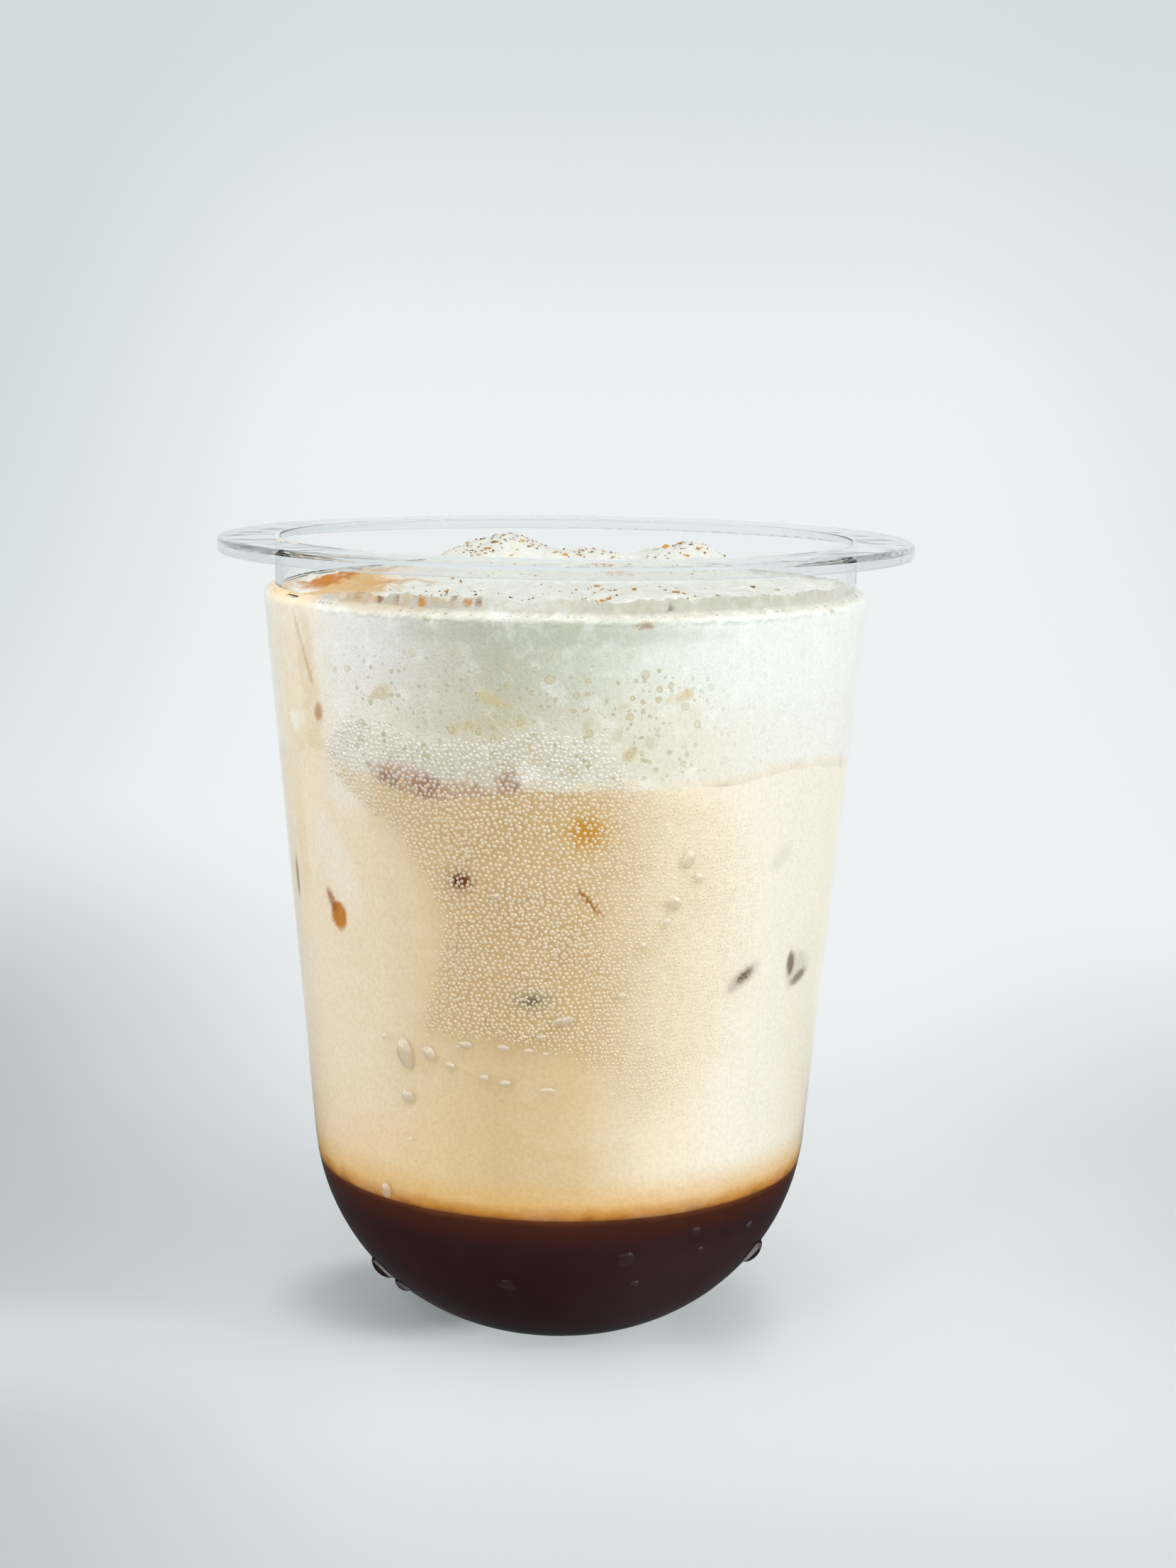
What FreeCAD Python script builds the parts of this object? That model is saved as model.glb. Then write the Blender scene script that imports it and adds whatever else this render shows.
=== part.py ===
"""Iced mocha in a round-bottomed clear cup: one solid each for cup, chocolate, milk coffee and foam.

The frame is in millimetres with +Z up. The origin is the middle of the flat foot, which stands on
the ground plane. +X is the drinker's right and -Y is the side that faces the drinker.
"""
import FreeCAD, Part
import math
import os

import Sketcher

# Driving dimensions, in millimetres and degrees.
SIZES = {
    # the cup
    "cup_height": 109.75,        # foot to the top of the rim flange
    "collar_radius": 39.76,      # outside of the upright collar under the flange
    "collar_depth": 6.45,        # top of the flange to the shoulder's top
    "shoulder_round": 1.55,      # quarter round by which the wall stands out from the collar
    "wall_taper": 5.15,          # lean of the wall from upright
    "bowl_radius": 30.8,         # round that turns the wall into the foot
    "foot_flat": 1.73,           # how much of that round the flat foot takes off
    "wall": 0.8,                 # thickness of the plastic, the same all over
    "flange_width": 7.75,        # collar to the rim's outer edge
    "flange_thickness": 0.9,
    "lip_drop": 2.0,             # turned-down lip, from the top of the flange
    "lip_thickness": 0.9,
    "rim_round": 0.5,            # rounding of the flange's outer edge and of the mouth
    "lip_round": 0.25,           # rounding of the lip's lower edges
    # the drink
    "fill_gap": 0.08,            # the drink's skin to the plastic
    "chocolate_depth": 23.2,     # foot to the top of the chocolate
    "foam_depth": 22.5,          # mean thickness of the foam
    "headspace": 6.6,            # mean foam surface below the top of the rim
    "foam_droop": 1.1,           # fall of the foam's surface from its middle to the wall
}

# Swells of the foam's surface: right of the axis, behind the axis, rise and half width.
MOUNDS = {
    "left_mound": (-9.2, 12.0, 5.9, 9.5),
    "middle_mound": (4.5, 12.0, 2.7, 6.0),
    "right_mound": (17.3, 12.0, 5.0, 7.5),
    "stained_lump": (-27.5, 4.0, 1.6, 7.0),
    "left_hollow": (-40.0, -4.0, -2.2, 6.0),
    "front_swell": (8.0, -20.0, 0.9, 13.0),
}

# Swells of the line between the coffee and the foam, written in the same way.
DRIFTS = {
    "left_rise": (-32.0, -24.0, 2.9, 9.0),
    "front_dip": (-16.0, -34.0, -1.9, 8.0),
    "right_rise": (30.0, -25.0, 1.0, 10.0),
    "right_dip": (38.0, -6.0, -1.2, 8.0),
}

SURFACE_STEPS = 24               # patches across a swelling surface
OVERRUN = 5.0                    # how far helper solids run past what they cut
CLOSE = 1e-4                     # two lengths nearer than this are the same


# Formulas that several pieces share; "sheet" is the table of sizes.
SHOULDER_CENTRE = "sheet.cup_height - sheet.collar_depth - sheet.shoulder_round"
BOWL_CENTRE = "sheet.bowl_radius - sheet.foot_flat"
BOWL_TO_COLLAR = (f"({SHOULDER_CENTRE} - ({BOWL_CENTRE})) * tan(sheet.wall_taper)"
                  " + (sheet.bowl_radius - sheet.shoulder_round) / cos(sheet.wall_taper)")
RIM_RADIUS = "sheet.collar_radius + sheet.flange_width"
FOAM_TOP = "sheet.cup_height - sheet.headspace"
FOAM_LINE = f"{FOAM_TOP} - sheet.foam_depth"


def make_sheet(doc):
    """Spreadsheet of the driving dimensions, one alias to each."""
    sheet = doc.addObject("Spreadsheet::Sheet", "sheet")
    for row, (alias, size) in enumerate(SIZES.items(), start=1):
        sheet.set(f"A{row}", alias)
        sheet.set(f"B{row}", str(size))
        sheet.setAlias(f"B{row}", alias)
    doc.recompute()
    return sheet


def number(owner, formula):
    """Value of a formula of the sheet's sizes."""
    return float(owner.evalExpression(formula))


def make_body(doc, name):
    """Empty PartDesign body."""
    body = doc.addObject("PartDesign::Body", name)
    body.Label = name
    return body


def make_sketch(body, name):
    """Sketch on the body's own XZ plane: across is the radius, up is the height."""
    sketch = body.newObject("Sketcher::SketchObject", name)
    plane = next(item for item in body.Origin.OriginFeatures if item.Role == "XZ_Plane")
    sketch.AttachmentSupport = [(plane, "")]
    sketch.MapMode = "FlatFace"
    return sketch


def bind(sketch, name, formula, kind, *places):
    """Dimension of a sketch that follows a formula of the sheet."""
    size = number(sketch, formula)
    index = sketch.addConstraint(Sketcher.Constraint(kind, *places, size))
    sketch.renameConstraint(index, name)
    sketch.setExpression(f"Constraints.{name}", formula)


def line(sketch, start, end):
    """Straight edge of a profile, from one (radius, height) to another."""
    return sketch.addGeometry(Part.LineSegment(FreeCAD.Vector(*start, 0), FreeCAD.Vector(*end, 0)), False)


def arc(sketch, centre, radius, start_angle, end_angle):
    """Round edge of a profile, anticlockwise from one angle to another, in radians."""
    circle = Part.Circle(FreeCAD.Vector(*centre, 0), FreeCAD.Vector(0, 0, 1), radius)
    return sketch.addGeometry(Part.ArcOfCircle(circle, start_angle, end_angle), False)


def draw_cup_profile(sketch, inset):
    """Closed half section of the cup's form, moved inwards by the formula inset.

    The outline runs from the axis along the foot, round the bowl, up the leaning wall, over the
    shoulder and up the collar to the height of the rim.
    """
    origin, start, end, middle = (-1, 1), 1, 2, 3
    up_axis = -2
    depth = number(sketch, inset)
    taper = math.radians(number(sketch, "sheet.wall_taper"))
    top = number(sketch, "sheet.cup_height")
    shoulder = (number(sketch, "sheet.collar_radius"), number(sketch, SHOULDER_CENTRE))
    bowl = (shoulder[0] - number(sketch, BOWL_TO_COLLAR), number(sketch, BOWL_CENTRE))
    bowl_size = number(sketch, "sheet.bowl_radius") - depth
    shoulder_size = number(sketch, "sheet.shoulder_round") - depth
    collar = shoulder[0] - depth
    roof = shoulder[1] + shoulder_size
    foot = bowl[0] + math.sqrt(bowl_size ** 2 - (bowl[1] - depth) ** 2)
    foot_angle = math.atan2(depth - bowl[1], foot - bowl[0])
    side = (math.cos(taper), -math.sin(taper))

    floor = line(sketch, (0, depth), (foot, depth))
    round_bottom = arc(sketch, bowl, bowl_size, foot_angle, -taper)
    wall = line(sketch, (bowl[0] + bowl_size * side[0], bowl[1] + bowl_size * side[1]),
                (shoulder[0] + shoulder_size * side[0], shoulder[1] + shoulder_size * side[1]))
    round_shoulder = arc(sketch, shoulder, shoulder_size, -taper, math.pi / 2)
    under_collar = round_shoulder
    if depth > CLOSE:
        under_collar = line(sketch, (shoulder[0], roof), (collar, roof))
    upright = line(sketch, (collar, roof), (collar, top))
    lid = line(sketch, (collar, top), (0, top))
    core = line(sketch, (0, top), (0, depth))

    fix = Sketcher.Constraint
    sketch.addConstraint([
        fix("Horizontal", floor),
        fix("PointOnObject", floor, start, up_axis),
        fix("Coincident", floor, end, round_bottom, start),
        fix("Tangent", round_bottom, end, wall, start),
        fix("Tangent", wall, end, round_shoulder, start),
        fix("Vertical", round_shoulder, end, round_shoulder, middle),
        fix("Coincident", under_collar, end, upright, start),
        fix("Vertical", upright),
        fix("Coincident", upright, end, lid, start),
        fix("Horizontal", lid),
        fix("PointOnObject", lid, end, up_axis),
        fix("Coincident", lid, end, core, start),
        fix("Coincident", core, end, floor, start),
    ])
    if depth > CLOSE:
        sketch.addConstraint([
            fix("Coincident", round_shoulder, end, under_collar, start),
            fix("Horizontal", under_collar),
        ])
        bind(sketch, "floor_height", inset, "DistanceY", *origin, floor, start)
        bind(sketch, "collar_inside", f"sheet.collar_radius - ({inset})", "DistanceX", *origin, upright, start)
    else:
        sketch.addConstraint(fix("PointOnObject", floor, start, -1))
    bind(sketch, "collar_line", "sheet.collar_radius", "DistanceX", *origin, round_shoulder, middle)
    bind(sketch, "shoulder_centre", SHOULDER_CENTRE, "DistanceY", *origin, round_shoulder, middle)
    bind(sketch, "shoulder_size", f"sheet.shoulder_round - ({inset})", "Radius", round_shoulder)
    bind(sketch, "bowl_to_collar", BOWL_TO_COLLAR, "DistanceX", round_bottom, middle, round_shoulder, middle)
    bind(sketch, "bowl_centre", BOWL_CENTRE, "DistanceY", *origin, round_bottom, middle)
    bind(sketch, "bowl_size", f"sheet.bowl_radius - ({inset})", "Radius", round_bottom)
    bind(sketch, "top", "sheet.cup_height", "DistanceY", *origin, lid, end)


def turn(body, kind, sketch, name):
    """Revolution or groove of a half section, all the way round the upright axis."""
    feature = body.newObject(f"PartDesign::{kind}", name)
    feature.Profile = sketch
    feature.ReferenceAxis = (sketch, ["V_Axis"])
    feature.Angle = 360
    sketch.Visibility = False
    return feature


def draw_flange_profile(sketch):
    """Half section of the flange and its turned-down lip, an upside-down L."""
    start, end = 1, 2
    origin = (-1, 1)
    top = number(sketch, "sheet.cup_height")
    underside = top - number(sketch, "sheet.flange_thickness")
    lip_foot = top - number(sketch, "sheet.lip_drop")
    inner = number(sketch, "sheet.collar_radius - sheet.wall")
    outer = number(sketch, RIM_RADIUS)
    lip_inner = outer - number(sketch, "sheet.lip_thickness")
    corners = [(inner, top), (inner, underside), (lip_inner, underside), (lip_inner, lip_foot),
               (outer, lip_foot), (outer, top)]
    edges = [line(sketch, corner, corners[(index + 1) % 6]) for index, corner in enumerate(corners)]
    for index, edge in enumerate(edges):
        following = edges[(index + 1) % 6]
        sketch.addConstraint(Sketcher.Constraint("Coincident", edge, end, following, start))
        direction = "Horizontal" if index % 2 else "Vertical"
        sketch.addConstraint(Sketcher.Constraint(direction, edge))
    bind(sketch, "inner", "sheet.collar_radius - sheet.wall", "DistanceX", *origin, edges[0], start)
    bind(sketch, "outer", RIM_RADIUS, "DistanceX", *origin, edges[4], start)
    bind(sketch, "lip_inner", f"{RIM_RADIUS} - sheet.lip_thickness", "DistanceX", *origin, edges[2], start)
    bind(sketch, "top", "sheet.cup_height", "DistanceY", *origin, edges[0], start)
    bind(sketch, "underside", "sheet.cup_height - sheet.flange_thickness", "DistanceY", *origin, edges[1], start)
    bind(sketch, "lip_foot", "sheet.cup_height - sheet.lip_drop", "DistanceY", *origin, edges[3], start)


def ring_edges(shape, radius, height):
    """Names of the round edges of a shape that have this radius and lie at this height."""
    names = []
    for index, edge in enumerate(shape.Edges, start=1):
        curve = edge.Curve
        if (isinstance(curve, Part.Circle) and abs(curve.Radius - radius) < CLOSE
                and abs(curve.Center.z - height) < CLOSE):
            names.append(f"Edge{index}")
    return names


def round_rings(doc, body, name, size, rings):
    """Fillet on the round edges given by formulas of their radius and height."""
    base = body.Tip
    edges = []
    for radius, height in rings:
        edges += ring_edges(base.Shape, number(body, radius), number(body, height))
    fillet = body.newObject("PartDesign::Fillet", name)
    fillet.Base = (base, edges)
    fillet.setExpression("Radius", size)
    doc.recompute()


def make_cup(doc):
    """Clear cup: outer form and flange, hollowed out by the same form one wall further in."""
    body = make_body(doc, "cup")
    outer = make_sketch(body, "cup_outside")
    draw_cup_profile(outer, "0 * sheet.wall")
    turn(body, "Revolution", outer, "outer_form")
    flange = make_sketch(body, "flange_section")
    draw_flange_profile(flange)
    turn(body, "Revolution", flange, "flange")
    doc.recompute()
    filled = body.Shape.Volume
    inner = make_sketch(body, "cup_inside")
    draw_cup_profile(inner, "sheet.wall")
    turn(body, "Groove", inner, "hollow")
    doc.recompute()
    if body.Shape.Volume > filled / 2:
        raise RuntimeError("the groove leaves the cup solid")
    round_rings(doc, body, "rounded_rim", "sheet.rim_round", [
        (RIM_RADIUS, "sheet.cup_height"),
        ("sheet.collar_radius - sheet.wall", "sheet.cup_height"),
    ])
    round_rings(doc, body, "rounded_lip", "sheet.lip_round", [
        (RIM_RADIUS, "sheet.cup_height - sheet.lip_drop"),
        (f"{RIM_RADIUS} - sheet.lip_thickness", "sheet.cup_height - sheet.lip_drop"),
    ])
    return body


def make_cavity(doc):
    """Space that a drink up to the brim would take: the cup's inside, drawn in by the fill gap."""
    body = make_body(doc, "cavity")
    sketch = make_sketch(body, "cavity_section")
    draw_cup_profile(sketch, "sheet.wall + sheet.fill_gap")
    turn(body, "Revolution", sketch, "cavity_form")
    doc.recompute()
    return body


def swell(level, bumps, x, y):
    """Height of a surface that has bumps of a given rise and half width at given places."""
    height = level
    for bump_x, bump_y, rise, spread in bumps.values():
        distance = math.hypot(x - bump_x, y - bump_y) / spread
        height += rise * math.exp(-distance ** 2)
    return height


def make_swelling_block(doc, name, height, reach):
    """Solid from far below the cup up to the smooth surface height(x, y), wider than the cup."""
    rows = []
    for row in range(SURFACE_STEPS + 1):
        x = reach * (2 * row / SURFACE_STEPS - 1)
        heights = [reach * (2 * column / SURFACE_STEPS - 1) for column in range(SURFACE_STEPS + 1)]
        rows.append([FreeCAD.Vector(x, y, height(x, y)) for y in heights])
    surface = Part.BSplineSurface()
    surface.interpolate(rows)
    block = doc.addObject("Part::Feature", name)
    depth = height(0, 0) + OVERRUN
    block.Shape = surface.toShape().extrude(FreeCAD.Vector(0, 0, -depth))
    return block


def make_layers(doc, sheet, cavity):
    """Chocolate, milk coffee and foam: the cavity cut at the two lines between them."""
    reach = number(sheet, "sheet.collar_radius + sheet.shoulder_round") + OVERRUN
    foam_line = number(sheet, FOAM_LINE)
    foam_top = number(sheet, FOAM_TOP)
    inside = number(sheet, "sheet.collar_radius - sheet.wall")
    droop = number(sheet, "sheet.foam_droop")

    def foam_surface(x, y):
        fall = droop * (math.hypot(x, y) / inside) ** 4
        return swell(foam_top, MOUNDS, x, y) - fall

    def coffee_surface(x, y):
        return swell(foam_line, DRIFTS, x, y)

    below_chocolate_top = doc.addObject("Part::Cylinder", "below_chocolate_top")
    below_chocolate_top.Radius = reach
    below_chocolate_top.setExpression("Height", "sheet.chocolate_depth")
    below_coffee_top = make_swelling_block(doc, "below_coffee_top", coffee_surface, reach)
    below_foam_top = make_swelling_block(doc, "below_foam_top", foam_surface, reach)

    chocolate = doc.addObject("Part::Common", "chocolate")
    chocolate.Base = cavity
    chocolate.Tool = below_chocolate_top
    above_chocolate = doc.addObject("Part::Cut", "above_chocolate")
    above_chocolate.Base = cavity
    above_chocolate.Tool = below_chocolate_top
    milk_coffee = doc.addObject("Part::Common", "milk_coffee")
    milk_coffee.Base = above_chocolate
    milk_coffee.Tool = below_coffee_top
    above_coffee = doc.addObject("Part::Cut", "above_coffee")
    above_coffee.Base = above_chocolate
    above_coffee.Tool = below_coffee_top
    foam = doc.addObject("Part::Common", "foam")
    foam.Base = above_coffee
    foam.Tool = below_foam_top
    doc.recompute()
    layers = [chocolate, milk_coffee, foam]
    for layer in layers:
        layer.Label = layer.Name
    return layers


def check(doc, parts):
    """Stop if an object failed to build or a sub-part isn't one sound solid."""
    for item in doc.Objects:
        if "Invalid" in item.State or "Error" in item.State:
            raise RuntimeError(f"{item.Name} failed: {item.State}")
    for part in parts:
        shape = part.Shape
        if shape.isNull() or not shape.isValid() or len(shape.Solids) != 1:
            raise RuntimeError(f"{part.Label} isn't one sound solid")
        box = shape.BoundBox
        print(f"{part.Label}: {shape.Volume / 1000:.2f} ml, "
              f"x {box.XMin:.2f} {box.XMax:.2f}, y {box.YMin:.2f} {box.YMax:.2f}, z {box.ZMin:.2f} {box.ZMax:.2f}")


def main():
    doc = FreeCAD.newDocument("iced_mocha")
    sheet = make_sheet(doc)
    cup = make_cup(doc)
    cavity = make_cavity(doc)
    parts = [cup] + make_layers(doc, sheet, cavity)
    doc.recompute()
    check(doc, parts)
    os.makedirs("parts", exist_ok=True)
    for part in parts:
        part.Placement = FreeCAD.Placement()
        part.Shape.exportStep(f"parts/{part.Label}.step")


main()
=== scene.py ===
"""Looks of the iced mocha: clear cup, chocolate, milk coffee, foam, specks and condensation.

Sizes are in millimetres and degrees unless a name says otherwise; meshes are made in metres.
A place on the cup's wall is given by its angle round the axis, 0 at the front (-Y) and positive
to the right (+X), and by its height above the foot. Colours are written as sRGB, 0 to 255.
"""
import random
from math import cos, degrees, hypot, pi, radians, sin, tan

import bpy
import numpy as np
from mathutils import Matrix, Vector, noise


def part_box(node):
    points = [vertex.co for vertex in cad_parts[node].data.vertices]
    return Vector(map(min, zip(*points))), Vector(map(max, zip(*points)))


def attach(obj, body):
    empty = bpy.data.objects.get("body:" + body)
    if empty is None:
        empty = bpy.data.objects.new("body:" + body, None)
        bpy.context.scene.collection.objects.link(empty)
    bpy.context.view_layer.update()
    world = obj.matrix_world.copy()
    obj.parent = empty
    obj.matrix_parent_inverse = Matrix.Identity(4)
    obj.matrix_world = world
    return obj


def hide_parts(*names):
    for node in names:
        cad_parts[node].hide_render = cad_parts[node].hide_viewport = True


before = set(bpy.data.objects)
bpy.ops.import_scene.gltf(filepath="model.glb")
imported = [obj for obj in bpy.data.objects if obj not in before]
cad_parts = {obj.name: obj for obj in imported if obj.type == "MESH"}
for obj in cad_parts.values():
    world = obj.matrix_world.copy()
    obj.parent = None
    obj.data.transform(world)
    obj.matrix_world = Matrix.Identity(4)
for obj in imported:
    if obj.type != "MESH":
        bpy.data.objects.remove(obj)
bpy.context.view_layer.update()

MM = 0.001

# The cup's outline, as in the CAD source.
CUP_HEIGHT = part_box("cup")[1].z / MM
RIM_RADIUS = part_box("cup")[1].x / MM
COLLAR_RADIUS = 39.76
COLLAR_DEPTH = 6.45
SHOULDER_ROUND = 1.55
BOWL_RADIUS = 30.8
FOOT_FLAT = 1.73
WALL = 0.8
TAPER = radians(5.15)
SHOULDER_Z = CUP_HEIGHT - COLLAR_DEPTH - SHOULDER_ROUND
BOWL_Z = BOWL_RADIUS - FOOT_FLAT
BOWL_OUT = (COLLAR_RADIUS - (SHOULDER_Z - BOWL_Z) * tan(TAPER)
            - (BOWL_RADIUS - SHOULDER_ROUND) / cos(TAPER))
BITE = 0.15  # how far the drink's skin reaches into the plastic
SKIN = WALL - BITE  # how far the drink's skin lies inside the outer face
MID_RADIUS = 37  # the wall's usual radius, for lengths along it

# The drink's levels, as in the CAD source.
CHOCOLATE_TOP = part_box("chocolate")[1].z / MM
FOAM_LEVEL = CUP_HEIGHT - 6.6
FOAM_LINE = FOAM_LEVEL - 22.5
FOAM_DROOP = 1.1


# ---------------- shared helpers

def linear(*rgb):
    """Linear colour of an sRGB colour given from 0 to 255."""
    parts = [value / 255 for value in rgb]
    return tuple(part / 12.92 if part <= 0.04045 else ((part + 0.055) / 1.055) ** 2.4
                 for part in parts)


def ease(low, high, value):
    """0 below low, 1 above high and a smooth rise between; low may be above high."""
    part = np.clip((value - low) / (high - low), 0, 1)
    return part * part * (3 - 2 * part)


def form_radius(z, inset):
    """Radius of the cup's outline, moved inwards by inset, at the heights z."""
    z = np.asarray(z, float)
    bowl, shoulder = BOWL_RADIUS - inset, SHOULDER_ROUND - inset
    in_bowl = BOWL_OUT + np.sqrt(np.maximum(bowl ** 2 - (BOWL_Z - z) ** 2, 0))
    on_wall = BOWL_OUT + bowl / cos(TAPER) + (z - BOWL_Z) * tan(TAPER)
    on_shoulder = COLLAR_RADIUS + np.sqrt(np.maximum(shoulder ** 2 - (z - SHOULDER_Z) ** 2, 0))
    radius = np.where(z < BOWL_Z - bowl * sin(TAPER), in_bowl, on_wall)
    radius = np.where(z > SHOULDER_Z - shoulder * sin(TAPER), on_shoulder, radius)
    return np.where(z > SHOULDER_Z + shoulder, COLLAR_RADIUS - inset, radius)


def wall_point(angle, z):
    """Place on the outer face of the cup's wall."""
    radius = float(form_radius(z, 0))
    turn = radians(angle)
    return Vector((radius * sin(turn), -radius * cos(turn), z))


def wall_axes(angle, z):
    """Directions round, up and out from the wall at this place."""
    turn = radians(angle)
    around = Vector((cos(turn), sin(turn), 0))
    step = 0.05
    up = (wall_point(angle, z + step) - wall_point(angle, z - step)).normalized()
    return around, up, around.cross(up).normalized()


def noise_at(points, scale, octaves=1, seed=0):
    """Smooth noise from about -1 to 1 at each point, with lumps of about this size."""
    shift = Vector((seed * 17.3, seed * 5.1, seed * 9.7))
    return np.array([noise.fractal(Vector(point) / scale + shift, 1, 2, octaves)
                     for point in points])


def random_turn():
    """Random direction in radians."""
    return random.uniform(0, 6.28)


def band(base, sides):
    """Faces between a ring of points, from number base on, and the next ring."""
    turned = [(side, (side + 1) % sides) for side in range(sides)]
    above = base + sides
    return [(base + side, base + beside, above + beside, above + side) for side, beside in turned]


SHARP_EDGE = radians(55)


def add_object(name, data):
    """New object in the scene with this mesh, lamp or camera."""
    made = bpy.data.objects.new(name, data)
    bpy.context.scene.collection.objects.link(made)
    return made


def add_mesh(name, points, faces, material, smooth=True):
    """New mesh object from points in millimetres."""
    mesh = bpy.data.meshes.new(name)
    mesh.from_pydata((np.asarray(points, float) * MM).tolist(), [], faces)
    mesh.polygons.foreach_set("use_smooth", [smooth] * len(mesh.polygons))
    mesh.materials.append(material)
    mesh.update()
    return add_object(name, mesh)


def make_piece(name, points, faces, material, slot, smooth=True):
    """Mesh piece from points in millimetres, riding on the one body."""
    piece = add_mesh(name, points, faces, material, smooth)
    if smooth:
        piece.data.set_sharp_from_angle(angle=SHARP_EDGE)
    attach(piece, "root")
    return piece


def give_numbers(piece, name, numbers):
    """Stores a number or a colour for each vertex, for the material to read."""
    numbers = np.asarray(numbers, np.float32)
    if numbers.ndim == 1:
        layer = piece.data.attributes.new(name, "FLOAT", "POINT")
        layer.data.foreach_set("value", numbers)
        return
    layer = piece.data.attributes.new(name, "FLOAT_COLOR", "POINT")
    alpha = np.ones((len(numbers), 1), np.float32)
    layer.data.foreach_set("color", np.hstack([numbers, alpha]).ravel())


# ---------------- shader helpers

def empty_tree(owner):
    """Node tree of a material or a world, with nothing in it."""
    owner.use_nodes = True
    owner.node_tree.nodes.clear()
    return owner.node_tree


def new_material(name):
    """Empty material and its node tree."""
    material = bpy.data.materials.new(name)
    return material, empty_tree(material)


def node(tree, kind, inputs=None, **settings):
    """New shader node. inputs maps a socket to its value, or to the socket or node that feeds it.

    A node feeds it from its own first output.
    """
    made = tree.nodes.new("ShaderNode" + kind)
    for key, value in settings.items():
        setattr(made, key, value)
    for key, value in (inputs or {}).items():
        if isinstance(value, bpy.types.Node):
            value = value.outputs[0]
        if isinstance(value, bpy.types.NodeSocket):
            tree.links.new(value, made.inputs[key])
        else:
            made.inputs[key].default_value = value
    return made


def mix(tree, factor, first, second, blend="MIX"):
    """Colour mixed from two colours."""
    made = node(tree, "Mix", {0: factor, 6: first, 7: second},
                data_type="RGBA", blend_type=blend)
    return made.outputs[2]


def mix_shaders(tree, factor, first, second):
    """Shader mixed from two shaders."""
    return node(tree, "MixShader", {0: factor, 1: first, 2: second})


def math_node(tree, operation, first, second=0):
    """Result of one operation on two numbers."""
    return node(tree, "Math", {0: first, 1: second}, operation=operation)


def multiply(tree, first, second):
    """Product of two numbers."""
    return math_node(tree, "MULTIPLY", first, second)


def vector_math(tree, operation, first, second=(0, 0, 0), output="Vector"):
    """Result of one operation on two vectors; a length or a distance comes from Value."""
    return node(tree, "VectorMath", {0: first, 1: second}, operation=operation).outputs[output]


def stored(tree, name, output="Color"):
    """Colour that the piece stores under this name, or its number from Fac."""
    return node(tree, "Attribute", attribute_name=name).outputs[output]


def ranged(tree, value, low, high, most=1, least=0):
    """Smooth rise from least, where value is low, to most, where it is high."""
    return node(tree, "MapRange", {0: value, 1: low, 2: high, 3: least, 4: most},
                interpolation_type="SMOOTHSTEP")


def shaded(tree, colour, value, low, high, most, other, blend="MIX"):
    """Colour moved towards another one, where a value rises from low to high."""
    return mix(tree, ranged(tree, value, low, high, most), colour, opaque(*other), blend)


def place_in_mm(tree, stretch=(1, 1, 1)):
    """Place on the piece in millimetres, stretched along the axes."""
    place = node(tree, "TexCoord").outputs["Object"]
    scale = [part / MM for part in stretch]
    return node(tree, "Mapping", {"Vector": place, "Scale": scale})


def noise_node(tree, place, size, detail=2, roughness=0.5):
    """Noise with lumps of about this many millimetres, from 0 to 1."""
    return node(tree, "TexNoise", {"Vector": place, "Scale": 1 / size, "Detail": detail,
                                   "Roughness": roughness})


def principled(tree, colour, roughness, height, depth, **more):
    """Principled shader on a surface that noise from 0 to 1 raises by depth millimetres.

    more gives its other sockets, with _ for each space.
    """
    relief = node(tree, "Bump", {"Height": height, "Distance": depth * MM})
    inputs = {"Base Color": colour, "Roughness": roughness, "Normal": relief}
    inputs.update((key.replace("_", " "), value) for key, value in more.items())
    return node(tree, "BsdfPrincipled", inputs)


def finished(material, shader):
    """The material, with this shader as its surface."""
    node(material.node_tree, "OutputMaterial", {"Surface": shader})
    return material


def let_lamps_through(tree, shader, tint):
    """Clear shader through which the lamps shine on what lies behind."""
    lamp_ray = node(tree, "LightPath").outputs["Is Shadow Ray"]
    clear = node(tree, "BsdfTransparent", {"Color": tint})
    return mix_shaders(tree, lamp_ray, shader, clear)


def opaque(*rgb):
    """Linear colour with an alpha of one, from sRGB."""
    return (*linear(*rgb), 1)


# ---------------- materials

PLASTIC_IOR = 1.18  # low, because the real wall hardly mirrors the floor
LIP_SHARE = 0.6  # light that goes straight through the lip
LIP_START = RIM_RADIUS - 1.3  # radius from which that share grows
LIP_FULL = RIM_RADIUS - 0.9  # radius at which it is whole


def plastic_material():
    """Clear moulded plastic, with slow waves; part of the light goes straight through its lip.

    Without that share, light runs round inside the lip and its ends come out black.
    """
    material, tree = new_material("clear_plastic_look")
    place = place_in_mm(tree)
    waves = noise_node(tree, place_in_mm(tree, (1, 1, 0.35)), 7, detail=1)
    scuffs = noise_node(tree, place, 1.3, detail=4)
    rough = ranged(tree, scuffs, 0.35, 0.8, 0.012)
    shader = principled(tree, opaque(252, 252, 252), rough, waves, 0.05, IOR=PLASTIC_IOR,
                        Transmission_Weight=1)
    right, behind = node(tree, "SeparateXYZ", {0: place}).outputs[:2]
    level = node(tree, "CombineXYZ", {0: right, 1: behind})
    radius = vector_math(tree, "LENGTH", level, output="Value")
    lip = ranged(tree, radius, LIP_START, LIP_FULL, LIP_SHARE)
    straight = node(tree, "BsdfTransparent", {"Color": opaque(248, 249, 250)})
    plastic = mix_shaders(tree, lip, shader, straight)
    return finished(material, let_lamps_through(tree, plastic, opaque(252, 253, 253)))


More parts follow.
